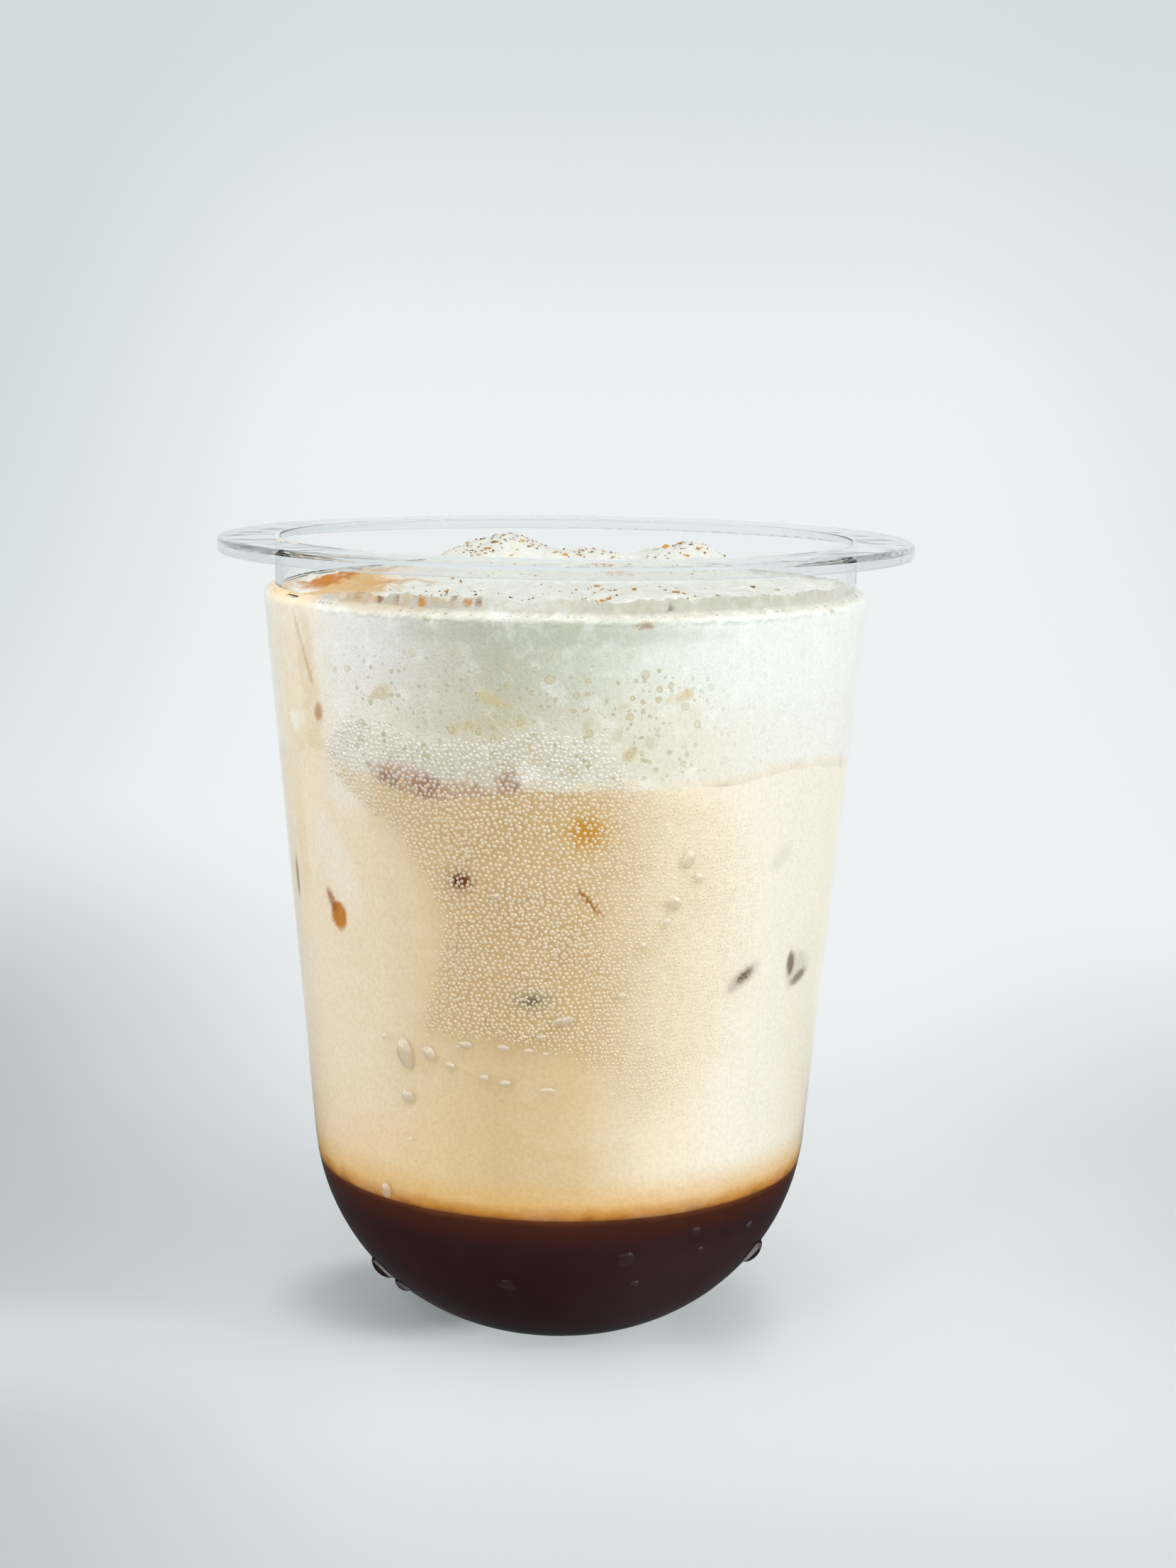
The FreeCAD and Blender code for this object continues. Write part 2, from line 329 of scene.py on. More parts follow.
def water_material(name, clearness, colour, shade, shine):
    """Water drops; what isn't clear in them scatters light, as mist does. shade is their shadow."""
    material, tree = new_material(name)
    ripple = noise_node(tree, place_in_mm(tree), 0.8, detail=1)
    shader = principled(tree, colour, 0.03, ripple, 0.01, IOR=1.333, Coat_IOR=1.8,
                        Transmission_Weight=clearness, Coat_Weight=shine, Coat_Roughness=0.1)
    return finished(material, let_lamps_through(tree, shader, shade))


def coffee_material():
    """Smooth drink behind the plastic: the piece's stored tint, which carries painted light and
    shade, with slow level streaks of milk.
    """
    material, tree = new_material("milk_coffee_look")
    tint = stored(tree, "tint")
    streaks = noise_node(tree, place_in_mm(tree, (1, 1, 3.5)), 9, detail=3)
    grain = noise_node(tree, place_in_mm(tree), 0.5, detail=2)
    colour = shaded(tree, tint, streaks, 0.45, 0.75, 0.1, (250, 242, 226))
    colour = shaded(tree, colour, grain, 0.35, 0.7, 0.1, (150, 120, 90), "MULTIPLY")
    shader = principled(tree, colour, 0.5, grain, 0.02, Specular_IOR_Level=0)
    return finished(material, shader)


def chocolate_material():
    """Dark syrupy chocolate with a faint purple cast and slow cloudy patches."""
    material, tree = new_material("chocolate_look")
    tint = stored(tree, "tint")
    clouds = noise_node(tree, place_in_mm(tree, (1, 1, 0.5)), 6, detail=3)
    colour = shaded(tree, tint, clouds, 0.45, 0.75, 0.25, (62, 34, 32))
    shader = principled(tree, colour, 0.4, clouds, 0.05, Specular_IOR_Level=0)
    return finished(material, shader)


def bubble_depth(tree, place, size, least, most):
    """How far inside a round bubble a place lies, for uneven bubbles in cells of this size."""
    cells = node(tree, "TexVoronoi", {"Vector": place, "Scale": 1 / size, "Randomness": 0.9})
    chance = node(tree, "SeparateColor", {0: cells.outputs["Color"]})
    reach = ranged(tree, chance, 0, 1, most, least)
    return math_node(tree, "SUBTRACT", reach, cells.outputs["Distance"])


def warped(tree, place, size, amount):
    """Place pushed about by this many millimetres, so that round patterns come out uneven."""
    push = node(tree, "TexNoise", {"Vector": place, "Scale": 1 / size, "Detail": 1})
    centred = vector_math(tree, "SUBTRACT", push.outputs["Color"], (0.5, 0.5, 0.5))
    scaled = node(tree, "VectorMath", {0: centred, "Scale": 2 * amount}, operation="SCALE")
    return vector_math(tree, "ADD", place, scaled)


def foam_material():
    """Milk foam: fine froth, with bubbles pressed against the wall where the piece says so."""
    material, tree = new_material("milk_foam_look")
    tint = stored(tree, "tint")
    bubbly = stored(tree, "bubbly", "Fac")
    place = place_in_mm(tree)
    uneven = warped(tree, place, 0.9, 0.22)
    froth = noise_node(tree, place, 0.35, detail=3, roughness=0.6)
    wisps = noise_node(tree, uneven, 2.6, detail=4, roughness=0.65)
    fine = bubble_depth(tree, uneven, 0.36, -0.1, 0.42)
    small = bubble_depth(tree, uneven, 0.9, -0.3, 0.4)
    large = bubble_depth(tree, uneven, 1.7, -0.35, 0.36)
    in_fine = multiply(tree, ranged(tree, fine, 0, 0.2, 0.6), bubbly)
    in_small = multiply(tree, ranged(tree, small, 0, 0.08, 0.7), bubbly)
    in_large = multiply(tree, ranged(tree, large, 0, 0.03, 0.75), bubbly)
    on_edge = multiply(tree, ranged(tree, large, 0.11, 0.04, 0.55), in_large)
    colour = shaded(tree, tint, froth, 0.35, 0.7, 0.12, (150, 150, 138), "MULTIPLY")
    colour = shaded(tree, colour, wisps, 0.48, 0.72, 0.35, (250, 250, 246))
    for share, shade in ((in_fine, (190, 186, 164)), (in_small, (184, 177, 150)),
                         (in_large, (204, 193, 156)), (on_edge, (164, 148, 110))):
        colour = mix(tree, share, colour, opaque(*shade))
    shader = principled(tree, colour, 0.75, froth, 0.14, Specular_IOR_Level=0.1,
                        Subsurface_Weight=0.25, Subsurface_Radius=(1, 0.9, 0.8),
                        Subsurface_Scale=MM)
    return finished(material, shader)


def flake_material(name, dark, light):
    """Dry flakes whose colour changes from one to the next."""
    material, tree = new_material(name)
    shade = stored(tree, "shade", "Fac")
    grain = noise_node(tree, place_in_mm(tree), 0.2, detail=2)
    colour = mix(tree, shade, dark, light)
    colour = shaded(tree, colour, grain, 0.4, 0.7, 0.35, (120, 95, 75), "MULTIPLY")
    return finished(material, principled(tree, colour, 0.8, grain, 0.03))


# ---------------- the drink's surfaces

# Swells of the foam's surface, as in the CAD source: right, behind, rise, half width.
MOUNDS = [
    (-9.2, 12, 5.9, 9.5), (4.5, 12, 2.7, 6), (17.3, 12, 5, 7.5), (-27.5, 4, 1.6, 7),
    (-40, -4, -2.2, 6), (8, -20, 0.9, 13),
]
# Swells of the line between coffee and foam, in the same way.
DRIFTS = [
    (-32, -24, 2.9, 9), (-16, -34, -1.9, 8), (30, -25, 1, 10), (38, -6, -1.2, 8),
]

# Lumps on the foam's surface: how wide they are, and how far they rise.
CLUMP_SIZE, CLUMP_RISE = 5, 0.5
KNOB_SIZE, KNOB_RISE = 2.3, 0.38
CRAG_SIZE, CRAG_RISE = 1.3, 0.24
FOAM_CLIMB = 1.2  # rise of the foam's edge at the collar, twice this at the front


def swell(level, bumps, x, y):
    """Height of a surface that has bumps of a given rise and half width at given places."""
    height = np.full(np.shape(x), float(level))
    for bump_x, bump_y, rise, spread in bumps:
        height = height + rise * np.exp(-((x - bump_x) ** 2 + (y - bump_y) ** 2) / spread ** 2)
    return height


def foam_height(x, y):
    """Foam surface: the CAD's swells with clumps, crags and froth on them, climbing the collar."""
    points = np.column_stack([x, y, np.zeros_like(x)])
    inner = COLLAR_RADIUS - WALL
    out = np.hypot(x, y)
    height = swell(FOAM_LEVEL, MOUNDS, x, y) - FOAM_DROOP * (out / inner) ** 4
    front = ease(10, -25, y)
    left = ease(-24, -36, x)
    climb = (FOAM_CLIMB + FOAM_CLIMB * front) * (1 - 0.85 * left)
    climb = climb * ease(inner - 3, inner, out)
    clumps = noise_at(points, CLUMP_SIZE, octaves=2, seed=1)
    knobs = noise_at(points, KNOB_SIZE, octaves=2, seed=8)
    crags = 1 - np.abs(noise_at(points, CRAG_SIZE, octaves=2, seed=2)) * 2
    height = height + climb + CLUMP_RISE * clumps + KNOB_RISE * knobs + CRAG_RISE * crags
    roof = SHOULDER_Z + SHOULDER_ROUND - WALL
    at_collar = ease(inner - 1.2, inner - 0.4, out)
    return np.minimum(np.maximum(height, (roof + 0.4 + 0.2 * clumps) * at_collar), CUP_HEIGHT - 0.3)


def coffee_height(x, y):
    """Line between the coffee and the foam."""
    points = np.column_stack([x, y, np.zeros_like(x)])
    return swell(FOAM_LINE, DRIFTS, x, y) + 0.35 * noise_at(points, 3, octaves=2, seed=3)


def flat_height(level):
    """Level surface at this height."""
    return lambda x, y: swell(level, [], x, y)


COLUMNS = 600  # round the drink


def fill_points(low, high, rows, low_rings, high_rings):
    """Points and faces of a filling between two surfaces, pressed into the cup's wall.

    The points come in rings: the lower surface from its middle out, up the wall, and the upper
    surface back to its middle. The first and last points are the two middles.
    """
    turns = np.radians(np.arange(COLUMNS) * 360 / COLUMNS)
    right, behind = np.sin(turns), -np.cos(turns)
    middle = np.zeros(1)

    def rim_of(surface):
        radius = form_radius(surface(middle, middle), SKIN)
        heights = surface(right * radius, behind * radius)
        return heights, form_radius(heights, SKIN)

    def ring_of(surface, edge, part):
        x, y = right * edge * part, behind * edge * part
        return np.column_stack([x, y, surface(x, y)])

    low_edge, low_radius = rim_of(low)
    high_edge, high_radius = rim_of(high)
    rings = [ring_of(low, low_radius, ring / low_rings) for ring in range(1, low_rings)]
    for row in range(rows + 1):
        z = low_edge + (high_edge - low_edge) * row / rows
        radius = form_radius(z, SKIN)
        rings.append(np.column_stack([right * radius, behind * radius, z]))
    rings += [ring_of(high, high_radius, ring / high_rings)
              for ring in range(high_rings - 1, 0, -1)]
    bottom_point, top_point = ((0, 0, surface(middle, middle)[0]) for surface in (low, high))
    faces = []
    top = 1 + len(rings) * COLUMNS
    for column in range(COLUMNS):
        beside = (column + 1) % COLUMNS
        faces.append((0, 1 + beside, 1 + column))
        for ring in range(len(rings) - 1):
            base = 1 + ring * COLUMNS
            above = base + COLUMNS
            faces.append((base + column, base + beside, above + beside, above + column))
        faces.append((top, top - COLUMNS + column, top - COLUMNS + beside))
    return np.vstack([bottom_point, *rings, top_point]), faces


def wall_places(points):
    """Angle and height of each point, and how near it is to the wall (1) or inside (0)."""
    angle = np.degrees(np.arctan2(points[:, 0], -points[:, 1]))
    radius = np.hypot(points[:, 0], points[:, 1])
    wall = form_radius(points[:, 2], SKIN)
    return angle, points[:, 2], ease(1.5, 0.2, wall - radius)


def across(angle, where):
    """Millimetres round the wall from one angle to each of the others."""
    return np.radians((angle - where + 180) % 360 - 180) * MID_RADIUS


def spot_weight(angle, z, spot, waver):
    """How strongly a spot on the wall shows at each place, with a wavering outline."""
    at, height, width, tall, tilt, strength, softness = spot
    along, up = across(angle, at), z - height
    lean = radians(tilt)
    u = (along * cos(lean) + up * sin(lean)) / (width / 2)
    v = (up * cos(lean) - along * sin(lean)) / (tall / 2)
    distance = np.hypot(u, v) + 0.22 * waver
    return strength * ease(1 + softness / 2, 1 - softness / 2, distance)


def blend_to(colours, colour, weight):
    """Colours moved towards one colour by a weight for each."""
    return colours + (np.array(linear(*colour)) - colours) * weight[:, None]


def blend_all(colours, *blends):
    """Colours moved towards one colour after another, each with its own weight."""
    for colour, weight in blends:
        colours = blend_to(colours, colour, weight)
    return colours


def blend_spots(colours, spots, places, waver):
    """Colours with spots added where the piece lies against the wall."""
    angle, z, at_wall = places
    for *spot, red, green, blue in spots:
        weight = spot_weight(angle, z, spot, waver) * at_wall
        colours = blend_to(colours, (red, green, blue), weight)
    return colours


def tones_at(angle, tones):
    """Colour round the drink, smooth between a few named angles."""
    angles = sorted(tones)
    colours = np.array([linear(*tones[at]) for at in angles])
    return np.column_stack([np.interp(angle, angles, colours[:, part], period=360)
                            for part in range(3)])


# Outline of the misted patch on the wall: angle, height.
MIST_OUTLINE = [
    (-52, 85), (-51, 80.5), (-43, 77.5), (-33, 73.6), (-27, 67.6), (-24, 63), (-26, 57), (-30, 50),
    (-29, 47.5), (-12, 47.6), (1, 46), (9, 42), (15, 35), (30, 36), (42, 46), (45, 56), (44, 68),
    (38, 77), (28, 80), (13.5, 82), (8, 88), (-4.5, 89), (-12, 87.6), (-26, 86.6), (-34, 88.4),
    (-46, 88.6),
]


def mist_depth(angle, z):
    """Millimetres inside the misted patch for each place on the wall, negative outside it."""
    here = np.column_stack([across(np.asarray(angle, float), 0), np.asarray(z, float)])
    corners = np.array([(float(across(np.array(at), 0)), height) for at, height in MIST_OUTLINE])
    nearest = np.full(len(here), 1e9)
    crossings = np.zeros(len(here), int)
    for start, end in zip(corners, np.roll(corners, -1, axis=0)):
        side = end - start
        along = np.clip((here - start) @ side / (side @ side), 0, 1)
        nearest = np.minimum(nearest, np.hypot(*(here - start - along[:, None] * side).T))
        spans = (start[1] > here[:, 1]) != (end[1] > here[:, 1])
        rise = side[1] if side[1] else 1e-9
        crossings += spans & (here[:, 0] < start[0] + side[0] * (here[:, 1] - start[1]) / rise)
    return np.where(crossings % 2 == 1, nearest, -nearest)


# ---------------- chocolate

def make_chocolate():
    """Dark chocolate in the bowl of the cup, its tint with a painted sheen at the right and painted
    shade at the lower left and near the foot.
    """
    low = flat_height(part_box("chocolate")[0].z / MM - BITE)
    high = flat_height(CHOCOLATE_TOP)
    points, faces = fill_points(low, high, rows=60, low_rings=24, high_rings=6)
    piece = make_piece("chocolate_layer", points, faces, chocolate_material(), "chocolate")
    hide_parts("chocolate")
    angle, z, _ = wall_places(points)
    wavy = angle + 8 * noise_at(points, 7, seed=9)
    edge = z + 0.25 * noise_at(points, 2.5, seed=4)
    # painted sheen: paler and purplish at the right of the bowl
    painted_sheen = 0.55 * ease(-6, 26, wavy) * ease(70, 36, wavy) * ease(22, 15, z)
    # painted shade: darker at the lower left
    darker = 0.5 * ease(14, 5, z) * ease(30, 0, wavy)
    rimmed = 0.8 * ease(CHOCOLATE_TOP - 1, CHOCOLATE_TOP + 0.2, edge)
    give_numbers(piece, "tint", blend_all(
        np.tile(linear(50, 29, 30), (len(points), 1)),
        ((70, 37, 27), ease(18, 22.5, z)),
        ((66, 48, 49), painted_sheen),
        ((44, 27, 28), darker),
        # painted shade, nearly black, near the foot
        ((6, 4, 5), ease(5, 1.8, z)),
        ((112, 66, 36), rimmed),
    ))


# ---------------- milk coffee

# Colour round the drink, with painted light and shade: lighter at the right and at the far left,
# where the lamps and their reflections fall, and darker at the front.
COFFEE_TONES_AND_LIGHT = {
    -180: (228, 208, 172), -100: (234, 218, 186), -62: (244, 229, 202), -42: (236, 218, 188),
    -28: (226, 205, 166), -13: (214, 190, 148), 4: (219, 196, 154), 21: (241, 227, 200),
    37: (245, 237, 220), 52: (244, 237, 219), 100: (240, 230, 206),
}

# Where ice and milk touch the wall. Each spot is its angle, height, width, tallness, tilt,
# strength and softness, and then its colour.
ICE_MARKS = [
    (-52, 69, 6, 15, 28, 0.45, 1, 244, 238, 226),
    (-66, 70, 4, 16, 0, 0.4, 1, 240, 208, 160),
    (-46, 80, 9, 9, 20, 0.65, 1, 242, 236, 224),
    (4.6, 75.5, 6.4, 6, 0, 0.55, 1, 220, 182, 104),
    (4.4, 75.5, 4.2, 4, 0, 0.85, 1, 206, 150, 40),
    (-20, 68.6, 4.2, 3.6, 0, 0.5, 1, 172, 128, 92),
    (-20, 68.6, 2.5, 1.9, 20, 0.95, 0.8, 116, 54, 34),
    (-20.9, 68.2, 0.7, 0.7, 0, 0.9, 0.5, 70, 30, 24),
    (-52, 61.4, 3.4, 3.9, 12, 0.95, 0.35, 192, 122, 34),
    (-54.2, 63.2, 1.6, 3.6, 34, 0.8, 0.6, 158, 98, 48),
    (5.2, 66.4, 0.7, 4.4, 42, 0.95, 0.6, 172, 108, 38),
    (-6, 53.3, 5.6, 2.6, 8, 0.45, 1, 150, 142, 122),
    (-6, 53.3, 2.4, 1.1, 8, 0.75, 0.9, 104, 92, 76),
    (40.1, 54.6, 5.4, 2.2, 28, 0.5, 1, 150, 138, 122),
    (40.6, 54.9, 2.8, 1.1, 28, 0.85, 0.8, 92, 72, 54),
    (59.4, 54, 6.6, 4.2, 0, 0.3, 0.8, 150, 138, 120),
    (56, 55, 1.8, 3.2, 10, 0.8, 0.8, 104, 82, 58),
    (60, 52.5, 5, 1.5, 14, 0.75, 0.9, 104, 86, 70),
    (48.5, 70, 4.6, 2.2, 42, 0.22, 1, 180, 172, 158),
    (-72, 64.2, 1.6, 5.5, 0, 0.8, 0.8, 150, 104, 64),
]


def mist_weight(angle, z, softness):
    """1 inside the misted patch of the wall, 0 outside, with an edge this many millimetres wide."""
    return ease(-softness / 2, softness / 2, mist_depth(angle, z))


def make_coffee():
    """Milk coffee from the chocolate up to the foam."""
    low = flat_height(CHOCOLATE_TOP)
    points, faces = fill_points(low, coffee_height, rows=120, low_rings=6, high_rings=12)
    piece = make_piece("coffee_layer", points, faces, coffee_material(), "milk_coffee")
    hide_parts("milk_coffee")
    places = angle, z, at_wall = wall_places(points)
    waver = noise_at(points, 2.2, octaves=2, seed=5)
    rise = z - CHOCOLATE_TOP + 0.3 * waver
    # painted shade: the coffee darker under the condensation at the front left
    mist_painted_light = mist_weight(angle, z, 7) * at_wall * 0.1
    mist_painted_light = mist_painted_light * ease(25, -15, angle) * ease(-50, -38, angle)
    colours = blend_all(
        tones_at(angle, COFFEE_TONES_AND_LIGHT),
        ((236, 198, 138), 0.4 * ease(20, 4, rise) * ease(10, -50, angle)),
        ((228, 184, 114), 0.85 * ease(7, 1, rise)),
        ((198, 130, 44), 0.85 * ease(2.4, 0.5, rise)),
        ((120, 70, 34), 0.85 * ease(0.7, -0.1, rise)),
        ((196, 160, 100), mist_painted_light),
    )
    give_numbers(piece, "tint", blend_spots(colours, ICE_MARKS, places, waver))


# ---------------- foam

# Colour round the foam, high up and just above the coffee, with painted light and shade: grey-green
# just left of the front and lighter at the right, where more light falls.
FOAM_TONES_AND_LIGHT_HIGH = {
    -180: (240, 237, 226), -75: (246, 238, 220), -58: (249, 236, 215), -47: (240, 237, 228),
    -38: (234, 231, 225), -26: (216, 213, 201), -12: (194, 193, 176), 4: (208, 211, 196),
    20: (233, 235, 225), 34: (239, 242, 235), 51: (241, 243, 236), 120: (239, 238, 230),
}
FOAM_TONES_AND_LIGHT_LOW = {
    -180: (240, 235, 222), -75: (243, 235, 214), -58: (244, 230, 200), -47: (242, 236, 224),
    -38: (235, 227, 213), -26: (217, 209, 192), -12: (208, 199, 173), 4: (219, 214, 195),
    20: (230, 225, 208), 34: (236, 233, 222), 51: (239, 238, 229), 120: (238, 235, 225),
}

# Marks on the foam's side and painted shade under the collar, written as the ice marks are.
FOAM_MARKS_AND_SHADE = [
    # stains and mixed-in coffee, with two rows of painted shade
    (-66, 91, 8, 26, 0, 0.35, 1, 246, 222, 186),
    (-56.2, 91.5, 4.4, 23, 3, 0.55, 0.7, 230, 206, 168),
    (-57.4, 96.5, 0.7, 9, 20, 0.6, 0.8, 198, 158, 106),
    (-55, 92.8, 1.4, 1.6, 0, 0.4, 0.8, 206, 170, 124),
    (-53.6, 88.2, 1.6, 2.5, -15, 0.8, 0.6, 190, 134, 84),
    (-61, 84, 7, 4, 0, 0.35, 1, 236, 206, 168),
    (-46, 82, 9, 6, 20, 0.6, 1, 246, 242, 234),
    (-64, 86.2, 2.4, 2.2, 0, 0.7, 0.8, 252, 248, 238),
    # painted shade under the collar's shoulder: a grey-green band and a dark line
    (-2, 100.4, 34, 2.6, 0, 0.45, 1, 180, 184, 168),
    (5, 101.75, 70, 0.5, 0, 0.4, 0.9, 140, 146, 132),
    (-38, 102.8, 14, 1.4, 0, 0.45, 1, 206, 182, 144),
    (-32, 81, 9, 4.2, -8, 0.8, 1, 186, 118, 58),
    (-19, 79.8, 15, 3, -4, 0.8, 1, 172, 112, 58),
    (-34.9, 80.9, 3, 2.4, -12, 0.95, 0.8, 136, 64, 16),
    (-26.5, 80.4, 4, 3.4, 0, 0.9, 0.8, 146, 74, 22),
    (-21.5, 79.6, 5, 1.6, -8, 0.45, 1, 190, 150, 118),
    (-9.8, 81.6, 3.4, 3, 0, 0.9, 0.9, 160, 92, 36),
    (-16.2, 80.9, 1, 0.7, 0, 0.8, 0.7, 120, 76, 60),
    (-39.8, 82.6, 0.7, 0.8, 0, 0.9, 0.5, 120, 80, 56),
    (29, 80.2, 5, 0.7, 14, 0.6, 0.9, 190, 164, 120),
    (71, 80.6, 2, 3, 0, 0.35, 1, 222, 206, 178),
    # bubbles that broke against the wall and left flat hollows
    (-35, 92.2, 3, 1.9, 20, 0.85, 0.25, 213, 200, 170),
    (-37.3, 91.4, 2.2, 0.9, 25, 0.8, 0.3, 213, 202, 176),
    (-13.4, 92.4, 3.6, 1.5, -38, 0.85, 0.3, 206, 192, 146),
    (-11.2, 91.5, 2.8, 0.8, -10, 0.8, 0.4, 208, 192, 144),
    (20.6, 92.4, 3.2, 1.3, 18, 0.8, 0.3, 222, 208, 176),
    (22.6, 92.9, 1.4, 1.2, 0, 0.7, 0.4, 220, 200, 160),
    (24.4, 90.6, 1.7, 1.7, 0, 0.5, 0.5, 226, 216, 192),
    (4.8, 89, 2.2, 1.8, 0, 0.6, 0.35, 200, 192, 160),
    (9.7, 87.8, 1.1, 1.8, 0, 0.6, 0.4, 202, 192, 160),
    (15.6, 86.9, 1.3, 1.3, 0, 0.6, 0.4, 206, 196, 166),
    (12, 85.5, 1.5, 2.2, -30, 0.6, 0.4, 200, 184, 140),
    (1.7, 83.4, 1.5, 1.3, 0, 0.7, 0.4, 186, 166, 112),
    (10.3, 91.4, 1.4, 1, 20, 0.5, 0.4, 214, 200, 166),
    (-20, 88.2, 0.8, 1.8, 0, 0.7, 0.35, 206, 190, 148),
    (-17.6, 88.5, 1.2, 1.3, -20, 0.75, 0.35, 200, 182, 130),
    (-15.2, 89.5, 1.7, 1, 0, 0.5, 0.4, 210, 198, 160),
    (-12.6, 88.9, 1.4, 1.4, 0, 0.6, 0.4, 208, 194, 152),
    (-8.4, 89.2, 2.8, 1.4, -12, 0.5, 0.4, 212, 200, 160),
    (-15.8, 87, 1.5, 1.1, 0, 0.5, 0.5, 206, 194, 162),
    (-12.1, 87.3, 1.6, 1.1, 0, 0.5, 0.5, 206, 196, 164),
    (-8.9, 87.2, 0.9, 0.9, 0, 0.6, 0.4, 204, 188, 142),
    (-6.6, 86.5, 0.9, 1, 0, 0.7, 0.4, 202, 182, 130),
    (-9.4, 84, 0.9, 0.9, 0, 0.6, 0.4, 204, 184, 140),
    (-5.2, 84.6, 1.6, 0.7, -10, 0.7, 0.3, 212, 176, 116),
    (-6.4, 82.7, 2.9, 2.9, 0, 0.85, 0.25, 250, 248, 242),
    (-8.2, 82.6, 0.9, 0.6, 0, 0.6, 0.5, 200, 176, 140),
    (-26, 89.1, 0.7, 1.2, 0, 0.5, 0.5, 206, 194, 160),
    (-47.1, 94.2, 1, 0.9, 0, 0.6, 0.5, 216, 206, 180),
    (3.6, 85.2, 1, 1.3, 0, 0.55, 0.4, 204, 190, 146),
    (22.3, 86.2, 0.9, 0.7, 0, 0.5, 0.4, 212, 200, 166),
    # cocoa and coffee drawn up between the foam and the collar, with a last row of painted shade
    (-44.5, 104, 6.5, 2, 0, 0.55, 0.9, 214, 176, 132),
    (-41.2, 104.8, 1.6, 1, 15, 0.75, 0.8, 190, 144, 84),
    (-42, 103.8, 1.2, 0.8, -20, 0.7, 0.5, 196, 160, 112),
    (-37.9, 103.9, 2.2, 1.3, -10, 0.75, 0.5, 206, 160, 100),
    (-36.4, 103.8, 0.6, 1.3, 0, 0.9, 0.4, 134, 88, 42),
    (-32.6, 103.8, 0.6, 1.3, 0, 0.85, 0.7, 150, 98, 44),
    (-30.6, 104.2, 1.9, 1.8, 0, 0.6, 0.5, 208, 186, 150),
    (-28.7, 104.8, 1.2, 0.8, 0, 0.75, 0.5, 196, 158, 98),
    (-27.2, 103.7, 1.1, 1.5, 0, 0.9, 0.7, 204, 140, 50),
    (-24.5, 104.4, 1.2, 1.4, 0, 0.6, 0.6, 204, 172, 122),
    (-22.6, 103.9, 0.6, 1.2, 0, 0.6, 0.6, 200, 170, 128),
    (-21.2, 103.9, 0.5, 1.1, 0, 0.6, 0.6, 196, 160, 116),
    (-20.6, 104.7, 0.7, 0.6, 0, 0.9, 0.5, 112, 62, 32),
    (-18, 104.1, 1, 1, 20, 0.9, 0.7, 200, 124, 40),
    (-15.9, 104.1, 0.6, 1.2, 0, 0.8, 0.5, 134, 84, 44),
    (-9.1, 104.9, 0.8, 0.7, 0, 0.75, 0.6, 178, 112, 64),
    (13.8, 101.6, 2.2, 0.6, 0, 0.7, 0.6, 150, 104, 62),
    (-24.9, 101.8, 0.6, 0.5, 0, 0.7, 0.6, 150, 150, 70),
    (19.4, 103.6, 0.5, 1, 0, 0.8, 0.6, 110, 100, 78),
    (57.7, 101.9, 1.4, 0.5, 0, 0.6, 0.7, 170, 140, 100),
    # painted shade: a grey-green band under the collar at the right
    (38, 104.3, 22, 1.4, 0, 0.55, 1, 190, 194, 176),
]


FEWEST_BUBBLES = 0.12  # share of the bubbles that show everywhere on the wall


def make_foam():
    """Milk foam, with its mounds above and its side against the wall."""
    points, faces = fill_points(coffee_height, foam_height, rows=60, low_rings=12, high_rings=84)
    piece = make_piece("foam_layer", points, faces, foam_material(), "milk_foam")
    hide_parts("foam")
    places = angle, z, at_wall = wall_places(points)
    part = ease(86, 97, z)[:, None]
    tones = tones_at(angle, FOAM_TONES_AND_LIGHT_HIGH) * part + tones_at(angle, FOAM_TONES_AND_LIGHT_LOW) * (1 - part)
    waver = noise_at(points, 1.8, octaves=2, seed=6)
    low = z - coffee_height(points[:, 0], points[:, 1]) + 0.5 * waver
    # painted shade: the foam at the wall greyer just under the collar's shoulder, less so at the
    # front
    shoulder = ease(101.9, 102.5, z) * ease(-62, -50, angle) * at_wall
    bright = ease(-24, -14, angle) * ease(8, -2, angle)
    curds = ease(0.05, 0.5, noise_at(points, 1.1, octaves=2, seed=12))
    colours = blend_all(
        tones,
        ((252, 253, 241), 1 - at_wall),
        ((236, 220, 190), 0.6 * ease(2.2, 0, low) * at_wall),
        ((198, 194, 182), 0.8 * shoulder),
        ((222, 220, 211), 0.8 * shoulder * bright),
        ((190, 184, 156), 0.45 * shoulder * curds),
    )
    colours = blend_spots(colours, FOAM_MARKS_AND_SHADE, places, waver)
    # painted light: the foam paler under the condensation
    mist_painted_light = 0.25 * mist_weight(angle, z, 4) * at_wall
    colours = blend_to(colours, (250, 247, 238), mist_painted_light)
    give_numbers(piece, "tint", blend_stains(colours, points, waver))
    band = ease(100, 94, z) * ease(80, 84, z)
    sides = ease(-50, -38, angle) * ease(42, 8, angle)
    give_numbers(piece, "bubbly", at_wall * np.maximum(band * sides, FEWEST_BUBBLES))


# Coffee soaked into the foam's top at the left: right, behind, half width, half depth and
# strength, and then the colour.
TOP_STAINS = [
    (-32, -6, 9.5, 17, 0.85, (236, 184, 108)),
    (-33.5, 2, 4.6, 6, 0.95, (208, 128, 30)),
    (-24, 12, 8.5, 4, 0.75, (222, 166, 84)),
    (-22, -3, 5, 1.6, 0.5, (220, 172, 100)),
]


